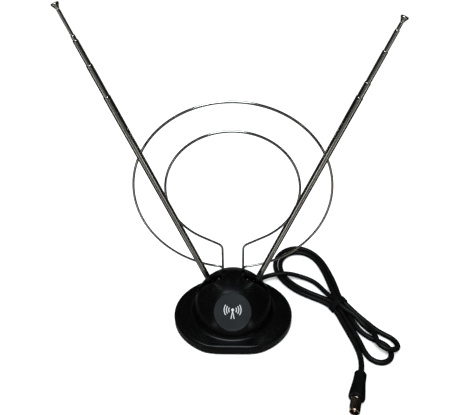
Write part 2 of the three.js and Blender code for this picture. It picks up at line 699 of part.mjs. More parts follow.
// ---------------------------------------------------------------- coaxial plug
function addPlug() {
  const { length, sleeveEnd, sleeveRadius, sleeveBore, gap, pinRadius } = PLUG;
  const plug = new THREE.Group();
  plug.position.set(...PLUG.rear);
  plug.rotation.set(0, Math.PI / 2, THREE.MathUtils.degToRad(PLUG.heading), 'ZYX');
  antenna.add(plug);

  const seat = length - PLUG.seatDepth;
  const body = turned([
    [0, gap], [5.2, gap], [5.6, 1.2], [5.6, 9], [7.2, length - 4], [7.3, length - 1], [6.8, length],
    [sleeveRadius + gap, length], [sleeveRadius + gap, seat], [0, seat],
  ], 16);
  add('plug_body', body, rubber(), plug);

  const sleeve = turned([
    [sleeveBore, seat + gap], [sleeveRadius, seat + gap], [sleeveRadius, sleeveEnd - 0.4],
    [sleeveRadius - 0.3, sleeveEnd], [sleeveBore, sleeveEnd], [sleeveBore, seat + gap],
  ], 16);
  add('plug_sleeve', sleeve, zincSteel(), plug);

  const insulator = turned([
    [pinRadius + gap, seat + gap], [sleeveBore - gap, seat + gap], [sleeveBore - gap, length + 2],
    [pinRadius + gap, length + 2], [pinRadius + gap, seat + gap],
  ], 16);
  add('plug_insulator', insulator, plastic(0x8a6a4a, 0.5), plug);

  const pin = turned([
    [0, seat + gap], [pinRadius, seat + gap], [pinRadius, sleeveEnd - 2.2],
    [pinRadius - 0.45, sleeveEnd - 1.2], [0, sleeveEnd - 1],
  ], 12);
  add('plug_pin', pin, brass(), plug);
}

// ---------------------------------------------------------------- assembly
addBase();
addBoard();
for (const [side, word, lean, pulls] of [
  [-1, 'left', HINGE.leanLeft, PULL_LEFT],
  [1, 'right', HINGE.leanRight, PULL_RIGHT],
]) {
  addHingeHardware(side, word);
  addEar(side, word, lean, pulls);
}
addLoops();
addGrommet();
addInnerRun();
addCord();
addTie();
addPlug();

export default antenna;
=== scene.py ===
import math

import bpy
import numpy as np
from mathutils import Matrix, Vector


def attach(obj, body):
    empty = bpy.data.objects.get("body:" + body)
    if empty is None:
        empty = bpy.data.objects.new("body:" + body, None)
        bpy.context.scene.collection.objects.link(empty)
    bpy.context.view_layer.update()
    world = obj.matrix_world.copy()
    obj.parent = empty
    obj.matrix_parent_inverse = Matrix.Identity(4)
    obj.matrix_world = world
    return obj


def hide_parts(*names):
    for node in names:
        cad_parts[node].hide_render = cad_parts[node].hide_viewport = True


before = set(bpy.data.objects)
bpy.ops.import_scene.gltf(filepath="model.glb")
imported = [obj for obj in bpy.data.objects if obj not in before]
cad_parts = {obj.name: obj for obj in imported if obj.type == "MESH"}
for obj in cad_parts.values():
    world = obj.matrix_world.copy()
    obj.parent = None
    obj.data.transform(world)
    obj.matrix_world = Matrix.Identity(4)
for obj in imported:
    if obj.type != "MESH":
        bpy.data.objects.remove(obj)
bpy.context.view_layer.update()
MM = 0.001

# ---------------------------------------------------------------- dimensions, as in the CAD model
PLATE_A, PLATE_B, PLATE_FLAT = 61.0, 50.5, 47.0
PLATE_TOP, PLATE_BOTTOM, PLATE_EDGE, PLATE_CORNER = 11.5, 1.0, 3.0, 3.0
WALL = 2.2
DOME_Y, DOME_RADIUS, DOME_HEIGHT = 4.1, 41.2, 42.2
DOME_FILLET = 3.6  # 0.6 mm wider than in the CAD model, for a softer highlight round the foot
BADGE_RADIUS, BADGE_FACE, BADGE_DEPTH = 18.2, 37.3, 1.2
BADGE_GAP, BADGE_SEAT_WIDTH, BADGE_SEAT_DEPTH = 0.35, 2.6, 3.6
BADGE_ELEVATION = math.radians(41)
SCREW_X, SCREW_Y, SCREW_SEAT = 49, 14, 2.9
PILLAR_RADIUS, PILLAR_FOOT, SCREW_HOLE_RADIUS, SCREW_HOLE_TOP = 3.4, 4.0, 1.35, 9.3
FOOT_X, FOOT_Y, FOOT_RADIUS, FOOT_HEIGHT = 37, 26, 5, 2.4
HINGE_X, HINGE_Y, HINGE_Z = 15.0, 9.0, 22.0
SLOT_GAP, SLOT_HALF_WIDTH = 0.9, 4.4
LEAN = {"left": -20.25, "right": 20.65}  # degrees from upright, about +Y
LEAN_MAX = math.radians(65)
# How far each inner section stands out of the one round it at rest.
PULLS = {"left": (26.2, 19.3, 3.5, 19.0), "right": (12.2, 25.0, 15.9, 5.3)}
TUBES = ((3.0, 2.72), (2.6, 2.32), (2.2, 1.92), (1.8, 1.5))  # radius and bore, from the outside in
OUTER_TUBE_LOW, OUTER_TUBE_TOP = 9.3, 235.0
SECTION_LENGTHS = (212, 208, 204, 200)
BUSH_LENGTH, BUSH_STEP, SLIDE_GAP = 6, 0.4, 0.12
TIP_RADIUS = 1.35
WIRE_RADIUS, WIRE_HOLE_GAP, WIRE_HOLE_LOW = 1.15, 0.5, 30
STEM_X, STEM_END_Z = 10.2, 33.6
# Each loop leaves its circle at leave from the middle, and turns down with this bend.
OUTER_LOOP = {"radius": 89.7, "centre_z": 143.2, "y": 20.2, "leave": 14, "bend": 5}
INNER_LOOP = {"radius": 60.3, "centre_z": 147.9, "y": 17.6, "leave": 29.6, "bend": 8}
CORD_RADIUS, CORD_STEP, LOOP_STEP = 2.65, 1.2, 1.1
CORD_EXIT, CORD_HEADING = (26.0, 45.6, 6.6), math.radians(48)
CORD_HOLE_RADIUS, CORD_HOLE_SPAN = 4.2, (-14, 10)  # the span runs along the hole, from the exit
TIE_AT, TIE_HEADING = (111.3, 13.6), math.radians(-62)
PLUG_REAR, PLUG_HEADING = (118.2, -70.8, 7.5), math.radians(-109.2)

# Centreline of the coaxial lead, from the grommet to the plug.
ROUTE = [
    (29.55, 49.54, 6.6), (32.6, 52.4, 6.5), (38.4, 55.3, 6.7), (44.7, 56.8, 7.3), (51.1, 57.6, 8),
    (57.6, 58.1, 8.2), (64, 58.5, 7.2), (70.3, 58.5, 5.6), (76.5, 57.7, 4), (82.7, 55.8, 3),
    (88.2, 52.6, 2.7), (93, 48.1, 2.7), (96.8, 42.9, 2.7), (100.2, 37.3, 2.7), (103.7, 31.8, 2.74),
    (107.5, 26.5, 2.94), (111.7, 21.6, 3.38), (115.5, 16.4, 3.7), (118.6, 10.6, 3.44),
    (120.9, 4.5, 2.97), (122.7, -1.7, 2.75), (124.5, -8, 2.71), (126.8, -14, 2.7),
    (130.1, -19.7, 2.7), (134.4, -24.5, 2.7), (139.5, -28.4, 2.7), (145.2, -31.7, 2.7),
    (150.3, -35.7, 2.7), (153.2, -41.4, 2.7), (152.9, -47.8, 2.7), (149.3, -53.1, 2.7),
    (143.4, -55.7, 2.7), (137.1, -55, 2.7), (131.9, -51.1, 2.7), (128.9, -45.5, 2.7),
    (127.2, -39.2, 2.7), (125.9, -32.8, 2.7), (124.3, -26.5, 2.7), (122.5, -20.3, 2.7),
    (120.6, -14, 2.7), (118.8, -7.8, 2.72), (117, -1.5, 2.82), (115.1, 4.7, 3.16),
    (112.5, 10.7, 3.62), (109, 16.1, 3.61), (104.6, 20.9, 3.17), (99.5, 24.9, 2.84),
    (94, 28.3, 2.73), (88.3, 31.5, 2.7), (82.7, 34.8, 2.7), (77.3, 38.4, 2.7), (72.1, 42.4, 2.7),
    (67.4, 46.8, 2.7), (63.2, 51.8, 2.7), (59.6, 57.2, 2.7), (56.9, 63.1, 2.7), (55.2, 69.4, 2.7),
    (54.7, 75.8, 2.7), (55.5, 82.3, 2.7), (57.8, 88.3, 2.7), (61.7, 93.5, 2.7), (66.8, 97.5, 2.7),
    (72.9, 99.6, 2.7), (79.4, 99.8, 2.7), (85.6, 98.1, 2.7), (91, 94.5, 2.7), (95.4, 89.7, 2.7),
    (98.7, 84.1, 2.7), (101.1, 78.1, 2.7), (103, 71.8, 2.7), (104.6, 65.5, 2.7),
    (105.9, 59.2, 2.7), (107, 52.8, 2.7), (107.9, 46.3, 3), (108.4, 39.9, 4.11),
    (108.6, 33.7, 6.05), (108.9, 27.5, 8.03), (109.3, 21, 9.13), (110.9, 14.8, 9.59),
    (114.1, 9.1, 9.39), (118.6, 4.4, 8.83), (123.6, 0.3, 7.98), (128.1, -3.9, 6.01),
    (132.1, -8.6, 3.8), (135.9, -13.7, 2.9), (139.2, -19.1, 4.1), (140.8, -24.8, 6.8),
    (140.8, -31, 8.7), (141.4, -37.4, 9.3), (145.1, -42.7, 9.4), (150.9, -45.1, 8.6),
    (157, -43.7, 7.1), (160.8, -39.1, 5), (161.2, -32.9, 3.4), (158.2, -27.3, 2.7),
    (153.1, -23.2, 2.7), (147.9, -19.3, 2.7), (143.4, -14.6, 2.7), (139.5, -9.4, 2.7),
    (135.5, -4.3, 2.8), (131, 0.2, 3.93), (126.4, 4.5, 5.95), (121.9, 8.8, 8.1),
    (117.8, 13.8, 9.23), (115.3, 19.7, 8.8), (114.3, 26, 7.27), (114.1, 32.4, 5.85),
    (113.9, 38.9, 4.8), (113.3, 45.3, 4.1), (112.6, 51.7, 3.7), (111.5, 58.2, 3.3),
    (110.3, 64.5, 2.9), (108.9, 70.9, 2.7), (107.2, 77.1, 2.7), (105, 83.3, 2.7),
    (102.2, 89.2, 2.7), (98.9, 94.7, 2.7), (94.8, 99.8, 2.7), (89.9, 104, 2.7), (84.1, 107, 2.7),
    (77.8, 108.3, 2.7), (71.3, 107.7, 2.7), (65.3, 105.3, 2.7), (60, 101.6, 2.7),
    (55.6, 96.8, 2.7), (52.2, 91.2, 2.7), (49.9, 85.2, 2.7), (48.8, 78.8, 2.7), (48.9, 72.3, 2.7),
    (50.1, 65.9, 2.7), (52.2, 59.8, 2.7), (55.2, 54, 2.7), (58.8, 48.5, 2.7), (62.9, 43.5, 2.7),
    (67.5, 39, 2.7), (72.6, 34.8, 2.7), (78, 31.2, 2.7), (83.6, 27.9, 2.7), (89.3, 24.8, 2.7),
    (94.9, 21.5, 2.87), (100.1, 17.6, 3.23), (104.6, 12.9, 3.65), (108, 7.4, 3.58),
    (110.5, 1.4, 3.11), (112.3, -4.8, 2.8), (114.1, -11.1, 2.71), (115.9, -17.3, 2.7),
    (117.7, -23.6, 2.7), (119.5, -29.8, 2.7), (121, -36.1, 2.7), (122.2, -42.5, 2.7),
    (122.7, -49, 2.8), (122.3, -55.5, 3.5), (121.1, -61.7, 4.9), (119.4, -67.6, 6.7),
    (117.2, -73.7, 7.5),
]


# ---------------------------------------------------------------- camera, floor and light
CAMERA_PLACE = (6.03, -333.96, 387.34)
CAMERA_FORWARD, CAMERA_RIGHT = (-0.01832, 0.80749, -0.58960), (0.99974, 0.02269, 0.0)
CAMERA_ROLL = math.radians(-0.57)
CAMERA_LENS, CAMERA_SENSOR = 36.95, 36

# The set, in metres and watts.
SOFT_BOX_PLACE, SOFT_BOX_AIM, SOFT_BOX_SIZE = (-0.15, -0.45, 1.3), (0, 0, 0.05), (1.0, 0.7)
SOFT_BOX_POWER, SOFT_BOX_COLOUR = 20.0, (0.86, 0.95, 1.0)
WORLD_STRENGTH = 1.05
FLOOR_REACH, FLOOR_Z = 30.0, -0.00005
SURROUND_RINGS = ((0.1, 0.0), (1.3, 0.0), (1.3, 1.45))  # radius and height
SURROUND_SIDES, SURROUND_DROP = 144, 0.00002  # so low that it touches no piece, but over the floor
DARK, GREY, PALE = 0, 1, 2
PANEL_GLOWS = (("wall_dark", 0.012), ("wall_grey", 0.16), ("wall_pale", 1.7))
# Where the panels stand, in degrees from the front on either side.
FRONT_GREY_END, PALE_STRIP, SIDE_GREY, BACK_GREY_START = 30, (34, 46), (130, 150), 162


def link_object(name, data):
    item = bpy.data.objects.new(name, data)
    bpy.context.collection.objects.link(item)
    return item


def place_camera():
    forward = Vector(CAMERA_FORWARD).normalized()
    right = Vector(CAMERA_RIGHT).normalized()
    up = right.cross(forward)
    side = math.cos(CAMERA_ROLL) * right + math.sin(CAMERA_ROLL) * up
    top = -math.sin(CAMERA_ROLL) * right + math.cos(CAMERA_ROLL) * up
    camera = link_object("camera", bpy.data.cameras.new("camera"))
    camera.data.sensor_width = CAMERA_SENSOR
    camera.data.lens = CAMERA_LENS
    turn = Matrix((side, top, -forward)).transposed().to_4x4()
    camera.matrix_world = Matrix.Translation(Vector(CAMERA_PLACE) * MM) @ turn
    bpy.context.scene.camera = camera


def light_the_set():
    """A white world lights the set evenly, and one soft box over the front gives the highlights."""
    soft_box = link_object("key", bpy.data.lights.new("key", "AREA"))
    soft_box.data.shape = "RECTANGLE"
    soft_box.data.size, soft_box.data.size_y = SOFT_BOX_SIZE
    soft_box.data.energy = SOFT_BOX_POWER
    soft_box.data.color = SOFT_BOX_COLOUR
    aim = Vector(SOFT_BOX_AIM) - Vector(SOFT_BOX_PLACE)
    turn = aim.to_track_quat("-Z", "Y").to_matrix().to_4x4()
    soft_box.matrix_world = Matrix.Translation(SOFT_BOX_PLACE) @ turn
    bpy.context.scene.view_settings.view_transform = "Standard"
    world = bpy.data.worlds.new("studio")
    bpy.context.scene.world = world
    world.use_nodes = True
    background = world.node_tree.nodes["Background"].inputs
    background["Color"].default_value = (1, 1, 1, 1)
    background["Strength"].default_value = WORLD_STRENGTH


def panel_at(azimuth, on_table):
    """The panel that stands at this azimuth. Left and right are the same."""
    from_front = abs(azimuth - 270) if azimuth > 90 else azimuth + 90
    if PALE_STRIP[0] < from_front < PALE_STRIP[1]:
        return PALE if on_table else GREY
    if on_table and from_front > BACK_GREY_START:
        return GREY
    if from_front < FRONT_GREY_END or SIDE_GREY[0] < from_front < SIDE_GREY[1]:
        return GREY
    return DARK


def build_surround():
    """A round room of dark, grey and pale panels, with a table top, seen only in reflections."""
    sides = SURROUND_SIDES
    points = []
    for radius, z in SURROUND_RINGS:
        for side in range(sides):
            angle = 2 * math.pi * side / sides
            points.append((radius * math.cos(angle), radius * math.sin(angle), z - SURROUND_DROP))
    faces = [tuple(range(sides)), tuple(range(2 * sides, 3 * sides))]
    panels = [GREY, DARK]
    for low in (0, sides):
        for side in range(sides):
            after = (side + 1) % sides
            faces.append((low + side, low + after, low + sides + after, low + sides + side))
            panels.append(panel_at(360 * (side + 0.5) / sides, on_table=low == 0))
    mesh = bpy.data.meshes.new("surround")
    mesh.from_pydata(points, [], faces)
    for name, glow in PANEL_GLOWS:
        panel = Finish(name, (0, 0, 0), 1.0, specular=0.0)
        panel.shader.inputs["Emission Color"].default_value = (glow, glow * 0.985, glow * 0.95, 1)
        panel.shader.inputs["Emission Strength"].default_value = 1.0
        panel.material.cycles.emission_sampling = "NONE"
        mesh.materials.append(panel.material)
    mesh.polygons.foreach_set("material_index", panels)
    surround = link_object("surround", mesh)
    surround.visible_camera = False
    surround.visible_diffuse = False
    surround.visible_shadow = False


# ---------------------------------------------------------------- materials
NOISE_LOW, NOISE_HIGH = 0.3, 0.7  # most of the noise lies between these


class Finish:
    """A Principled material with helpers for noise."""

    def __init__(self, name, colour, roughness, metallic=0.0, specular=0.5):
        self.material = bpy.data.materials.new(name)
        self.material.use_nodes = True
        self.nodes = self.material.node_tree.nodes
        self.links = self.material.node_tree.links
        self.shader = self.nodes["Principled BSDF"]
        self.shader.inputs["Base Color"].default_value = (*colour, 1)
        self.shader.inputs["Roughness"].default_value = roughness
        self.shader.inputs["Metallic"].default_value = metallic
        self.shader.inputs["Specular IOR Level"].default_value = specular
        self.material.diffuse_color = (*colour, 1)

    def noise(self, size, detail, stretch=(1, 1, 1), use_uv=False):
        """Noise with features of about this size, in millimetres, stretched along each axis."""
        coordinates = self.nodes.new("ShaderNodeTexCoord")
        mapping = self.nodes.new("ShaderNodeMapping")
        mapping.inputs["Scale"].default_value = [1 / (size * MM * s) for s in stretch]
        texture = self.nodes.new("ShaderNodeTexNoise")
        texture.inputs["Scale"].default_value = 1
        texture.inputs["Detail"].default_value = detail
        self.links.new(coordinates.outputs["UV" if use_uv else "Object"], mapping.inputs[0])
        self.links.new(mapping.outputs[0], texture.inputs["Vector"])
        return texture.outputs["Fac"]

    def ramp(self, value, low, high, low_colour, high_colour):
        ramp = self.nodes.new("ShaderNodeValToRGB")
        first, last = ramp.color_ramp.elements
        first.position, last.position = low, high
        first.color, last.color = (*low_colour, 1), (*high_colour, 1)
        self.links.new(value, ramp.inputs[0])
        return ramp.outputs[0]

    def colour_from(self, value, low, high, low_colour, high_colour):
        colour = self.ramp(value, low, high, low_colour, high_colour)
        self.links.new(colour, self.shader.inputs["Base Color"])

    def roughness_from(self, value, low, high):
        span = self.nodes.new("ShaderNodeMapRange")
        span.inputs["From Min"].default_value = NOISE_LOW
        span.inputs["From Max"].default_value = NOISE_HIGH
        span.inputs["To Min"].default_value = low
        span.inputs["To Max"].default_value = high
        self.links.new(value, span.inputs["Value"])
        self.links.new(span.outputs[0], self.shader.inputs["Roughness"])

    def bump(self, value, depth):
        """Bump whose full height is depth, in millimetres."""
        node = self.nodes.new("ShaderNodeBump")
        node.inputs["Strength"].default_value = 1.0
        node.inputs["Distance"].default_value = depth * MM
        self.links.new(value, node.inputs["Height"])
        self.links.new(node.outputs[0], self.shader.inputs["Normal"])


def moulded_plastic(name, dark, light, rough_low, rough_high, grain=0.0008):
    finish = Finish(name, dark, rough_low, specular=0.17)
    finish.colour_from(finish.noise(14, 3), 0.35, 0.7, dark, light)
    finish.roughness_from(finish.noise(9, 4), rough_low, rough_high)
    finish.bump(finish.noise(0.35, 2), grain)
    return finish.material


def plated_metal(name, dark, light, rough_low, rough_high, use_uv=False):
    finish = Finish(name, light, rough_low, metallic=1.0)
    # With use_uv the tone runs in long streaks along a tube: partly uneven plating, partly painted
    # bands of reflection.
    tone = finish.noise(2.4, 2, stretch=(1, 90, 1), use_uv=True) if use_uv else finish.noise(6, 4)
    finish.colour_from(tone, 0.42, 0.64, dark, light)
    drawn = finish.noise(0.5, 2, stretch=(0.5, 60, 1), use_uv=use_uv)
    finish.roughness_from(drawn, rough_low, rough_high)
    finish.bump(drawn, 0.0016)
    return finish.material


def soft_rubber(name, dark, light, rough_low, rough_high):
    finish = Finish(name, dark, rough_low, specular=0.12)
    finish.colour_from(finish.noise(6, 4), 0.35, 0.7, dark, light)
    finish.roughness_from(finish.noise(3, 4), rough_low, rough_high)
    finish.bump(finish.noise(0.5, 2), 0.01)
    return finish.material


def cast_iron(name):
    finish = Finish(name, (0.05, 0.05, 0.05), 0.7, metallic=0.8)
    finish.colour_from(finish.noise(4, 6), 0.4, 0.65, (0.035, 0.035, 0.036), (0.10, 0.06, 0.045))
    finish.roughness_from(finish.noise(1.5, 4), 0.6, 0.85)
    finish.bump(finish.noise(0.8, 4), 0.12)
    return finish.material


def floor_material():
    finish = Finish("floor", (0.90, 0.90, 0.90), 1.0, specular=0.0)
    finish.colour_from(finish.noise(60, 3), 0.3, 0.7, (0.90, 0.90, 0.90), (0.92, 0.92, 0.92))
    return finish.material


# Each finish runs between two base colours, and between two roughnesses.
MATERIALS = {
    "black_plastic": moulded_plastic(
        "black_plastic", (0.0010, 0.0010, 0.0011), (0.0016, 0.0016, 0.0017), 0.23, 0.29),
    "badge_plastic": moulded_plastic(
        "badge_plastic", (0.0085, 0.0105, 0.0112), (0.0115, 0.0138, 0.0146), 0.34, 0.42),
    # Chrome's dark and light colours make streaks along the tubes that are partly painted bands of
    # reflection.
    "chrome": plated_metal(
        "chrome", (0.36, 0.345, 0.31), (0.68, 0.665, 0.62), 0.07, 0.15, use_uv=True),
    "zinc_steel": plated_metal("zinc_steel", (0.42, 0.43, 0.43), (0.56, 0.57, 0.58), 0.22, 0.4),
    "nickel": plated_metal("nickel", (0.28, 0.22, 0.175), (0.52, 0.44, 0.37), 0.14, 0.28),
    "brass": plated_metal("brass", (0.50, 0.36, 0.15), (0.64, 0.48, 0.22), 0.18, 0.34),
    "rubber": soft_rubber("rubber", (0.0010, 0.0010, 0.0009), (0.0018, 0.0017, 0.0016), 0.46, 0.6),
    "cord_jacket": soft_rubber(
        "cord_jacket", (0.0018, 0.0016, 0.0014), (0.0034, 0.0031, 0.0028), 0.36, 0.48),
    "insulator": soft_rubber("insulator", (0.22, 0.12, 0.05), (0.30, 0.17, 0.08), 0.4, 0.55),
    "laminate": moulded_plastic(
        "laminate", (0.030, 0.017, 0.007), (0.045, 0.026, 0.011), 0.45, 0.6, grain=0.02),
    "ferrite": soft_rubber("ferrite", (0.015, 0.015, 0.017), (0.03, 0.03, 0.032), 0.55, 0.75),
    "ballast": cast_iron("ballast"),
}
PRINT = Finish("badge_print", (0.45, 0.46, 0.47), 0.4)
PRINT.roughness_from(PRINT.noise(2, 3), 0.35, 0.5)


# ---------------------------------------------------------------- meshes
SHARP_ANGLE = math.radians(38)
CORNER_SHARE = 0.45  # of a side, at most, for the curve at each end of it
CURVE_SAMPLES = 24  # between two points of a smooth line
CAP_RISE = 0.15  # of the radius


def make_object(name, vertices, faces, slot, uv=None, weighted=True):
    """A smooth-shaded mesh object from points in millimetres. uv has one (u, v) per face corner."""
    mesh = bpy.data.meshes.new(name)
    mesh.from_pydata((np.asarray(vertices, float) * MM).tolist(), [], faces)
    mesh.validate()
    mesh.polygons.foreach_set("use_smooth", [True] * len(mesh.polygons))
    if uv is not None:
        layer = mesh.uv_layers.new(name="UVMap")
        layer.data.foreach_set("uv", (np.asarray(uv, float) * MM).ravel())
    mesh.set_sharp_from_angle(angle=SHARP_ANGLE)
    mesh.materials.append(MATERIALS[slot])
    piece = link_object(name, mesh)
    if weighted:
        modifier = piece.modifiers.new("weighted_normals", "WEIGHTED_NORMAL")
        modifier.keep_sharp = True
    return piece


def finish_piece(piece, body, *nodes):
    """Lets the piece ride a body, and stand for these CAD nodes."""
    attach(piece, body)
    if nodes:
        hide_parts(*nodes)


def rounded(profile, radius, closed=False, steps=4):
    """The profile with each corner turned into a small curve. A corner may carry its own radius."""
    corners = [(np.array(p[:2], float), p[2] if len(p) > 2 else radius) for p in profile]
    count = len(corners)
    points = []
    for index, (corner, cut) in enumerate(corners):
        if not closed and index in (0, count - 1):
            points.append(corner)
            continue
        before = corners[index - 1][0]
        after = corners[(index + 1) % count][0]
        side_in, side_out = np.linalg.norm(before - corner), np.linalg.norm(after - corner)
        start = corner + (before - corner) / side_in * min(cut, CORNER_SHARE * side_in)
        end = corner + (after - corner) / side_out * min(cut, CORNER_SHARE * side_out)
        for step in range(steps + 1):
            t = step / steps
            points.append((1 - t) ** 2 * start + 2 * t * (1 - t) * corner + t ** 2 * end)
    return [tuple(p) for p in points]


def lathe(profile, sides=64, closed=False, wave=None):
    """A turned mesh on the Z axis from (radius, z) pairs: vertices, faces and uv.
    wave(angle, z) scales the radius."""
    vertices, rings = [], []
    for radius, z in profile:
        if radius < 1e-6:
            rings.append([len(vertices)])
            vertices.append((0.0, 0.0, z))
            continue
        rings.append(list(range(len(vertices), len(vertices) + sides)))
        for side in range(sides):
            angle = 2 * math.pi * side / sides
            r = radius * (wave(angle, z) if wave else 1.0)
            vertices.append((r * math.cos(angle), r * math.sin(angle), z))
    faces, uv = [], []
    travelled = 0.0
    pairs = list(zip(range(len(profile)), range(1, len(profile))))
    if closed:
        pairs.append((len(profile) - 1, 0))
    for low, high in pairs:
        length = math.dist(profile[low], profile[high])
        around = max(profile[low][0], profile[high][0]) * 2 * math.pi / sides
        for side in range(sides):
            after = (side + 1) % sides
            a, b = rings[low], rings[high]
            left, right = side * around, (side + 1) * around
            if len(a) == 1 and len(b) == 1:
                continue
            if len(a) == 1:
                faces.append((a[0], b[after], b[side]))
                uv += [(left, travelled), (right, travelled + length), (left, travelled + length)]
            elif len(b) == 1:
                faces.append((a[side], a[after], b[0]))
                uv += [(left, travelled), (right, travelled), (left, travelled + length)]
            else:
                faces.append((a[side], a[after], b[after], b[side]))
                uv += [(left, travelled), (right, travelled),
                       (right, travelled + length), (left, travelled + length)]
        travelled += length
    return np.array(vertices), faces, uv


def moved(vertices, matrix):
    """The points after a move by a 4x4 matrix."""
    turn = np.array(matrix.to_3x3())
    return np.asarray(vertices) @ turn.T + np.array(matrix.to_translation())


def smooth_line(points, spacing):
    """Centripetal Catmull-Rom curve through the points, with even steps of about spacing."""
    points = [np.array(p, float) for p in points]
    points = [2 * points[0] - points[1]] + points + [2 * points[-1] - points[-2]]
    dense = []
    for p0, p1, p2, p3 in zip(points, points[1:], points[2:], points[3:]):
        t0 = 0.0
        t1 = t0 + math.sqrt(np.linalg.norm(p1 - p0))
        t2 = t1 + math.sqrt(np.linalg.norm(p2 - p1))
        t3 = t2 + math.sqrt(np.linalg.norm(p3 - p2))
        for t in np.linspace(t1, t2, CURVE_SAMPLES, endpoint=False):
            a1 = (t1 - t) / (t1 - t0) * p0 + (t - t0) / (t1 - t0) * p1
            a2 = (t2 - t) / (t2 - t1) * p1 + (t - t1) / (t2 - t1) * p2
            a3 = (t3 - t) / (t3 - t2) * p2 + (t - t2) / (t3 - t2) * p3
            b1 = (t2 - t) / (t2 - t0) * a1 + (t - t0) / (t2 - t0) * a2
            b2 = (t3 - t) / (t3 - t1) * a2 + (t - t1) / (t3 - t1) * a3
            dense.append((t2 - t) / (t2 - t1) * b1 + (t - t1) / (t2 - t1) * b2)
    dense.append(points[-2])
    return even_steps(np.array(dense), spacing)


def even_steps(line, spacing):
    """The same line with its points at even distances of about spacing."""
    along = run_along(line)
    count = max(int(round(along[-1] / spacing)), 2)
    stations = np.linspace(0, along[-1], count + 1)
    return np.stack([np.interp(stations, along, line[:, axis]) for axis in range(3)], axis=1)


def run_along(line):
    """Distance from the start of a line to each of its points."""
    return np.concatenate([[0], np.cumsum(np.linalg.norm(np.diff(line, axis=0), axis=1))])


def sweep(line, radius, sides=28, first_up=(0, 0, 1)):
    """A round tube along a line, closed with a slightly domed cap at each end."""
    tangents = np.gradient(line, axis=0)
    tangents /= np.linalg.norm(tangents, axis=1)[:, None]
    up = np.array(first_up, float)
    frames = []
    for tangent in tangents:
        up = up - tangent * np.dot(up, tangent)
        if np.linalg.norm(up) < 1e-6:
            up = np.array((0.0, 1.0, 0.0)) - tangent * tangent[1]
        up /= np.linalg.norm(up)
        frames.append((up.copy(), np.cross(tangent, up)))
    vertices, faces, uv = [], [], []
    for point, (up, side) in zip(line, frames):
        for step in range(sides):
            angle = 2 * math.pi * step / sides
            vertices.append(point + radius * (math.cos(angle) * up + math.sin(angle) * side))
    around = radius * 2 * math.pi / sides
    along = run_along(line)
    for ring in range(len(line) - 1):
        for step in range(sides):
            after = (step + 1) % sides
            low, high = ring * sides, (ring + 1) * sides
            faces.append((low + step, low + after, high + after, high + step))
            left, right = step * around, (step + 1) * around
            uv += [(left, along[ring]), (right, along[ring]),
                   (right, along[ring + 1]), (left, along[ring + 1])]
    for ring, direction in ((0, -1), (len(line) - 1, 1)):
        centre = len(vertices)
        vertices.append(line[ring] + tangents[ring] * direction * radius * CAP_RISE)
        for step in range(sides):
            after = (step + 1) % sides
            pair = (ring * sides + after, ring * sides + step)
            if direction > 0:
                pair = pair[::-1]
            faces.append((pair[0], pair[1], centre))
            uv += [(0, 0), (around, 0), (0, around)]
    return np.array(vertices), faces, uv


# ---------------------------------------------------------------- implicit surface for the cover
# A field is about the distance to a solid's surface: below zero inside, above zero outside.
def round_max(a, b, radius):
    """Both of two solids, with the corner between them rounded off."""
    corner = np.hypot(np.maximum(a + radius, 0), np.maximum(b + radius, 0))
    return np.minimum(-radius, np.maximum(a, b)) + corner


def round_min(a, b, radius):
    """Either of two solids, with a fillet between them."""
    corner = np.hypot(np.maximum(radius - a, 0), np.maximum(radius - b, 0))
    return np.maximum(radius, np.minimum(a, b)) - corner


def outline_field(x, y, inset):
    """The base's outline, inset: an ellipse with its front and back cut straight."""
    a, b = PLATE_A - inset, PLATE_B - inset
    # The small terms keep the division sound at the middle.
    scaled = np.sqrt((x / a) ** 2 + (y / b) ** 2 + 1e-8)
    slope = np.sqrt((x / a ** 2) ** 2 + (y / b ** 2) ** 2 + 3e-12)
    ellipse = scaled * (scaled - 1) / slope
    return round_max(ellipse, np.abs(y) - (PLATE_FLAT - inset), PLATE_CORNER)


def dome_field(x, y, z, inset):
    """Half an ellipsoid on top of the plate, inset."""
    up = np.maximum(z - PLATE_TOP, 0)
    around = np.hypot(x, y - DOME_Y)
    scaled = np.sqrt((around / (DOME_RADIUS - inset)) ** 2 + (up / (DOME_HEIGHT - inset)) ** 2)
    return (scaled - 1) * (DOME_RADIUS - inset + 0.5)


def slot_field(side, y, z):
    """The slot in which an ear leans, from upright to its outer limit."""
    reach = TUBES[0][0] + SLOT_GAP
    low_x = HINGE_X + reach * math.cos(LEAN_MAX)
    low_z = HINGE_Z - reach * math.sin(LEAN_MAX)
    slope = math.cos(LEAN_MAX) * (side - low_x) - math.sin(LEAN_MAX) * (z - low_z)
    profile = round_max(round_max(HINGE_X - reach - side, slope, 1.0), low_z - z, 1.0)
    return round_max(profile, np.abs(y - HINGE_Y) - SLOT_HALF_WIDTH, 0.8)


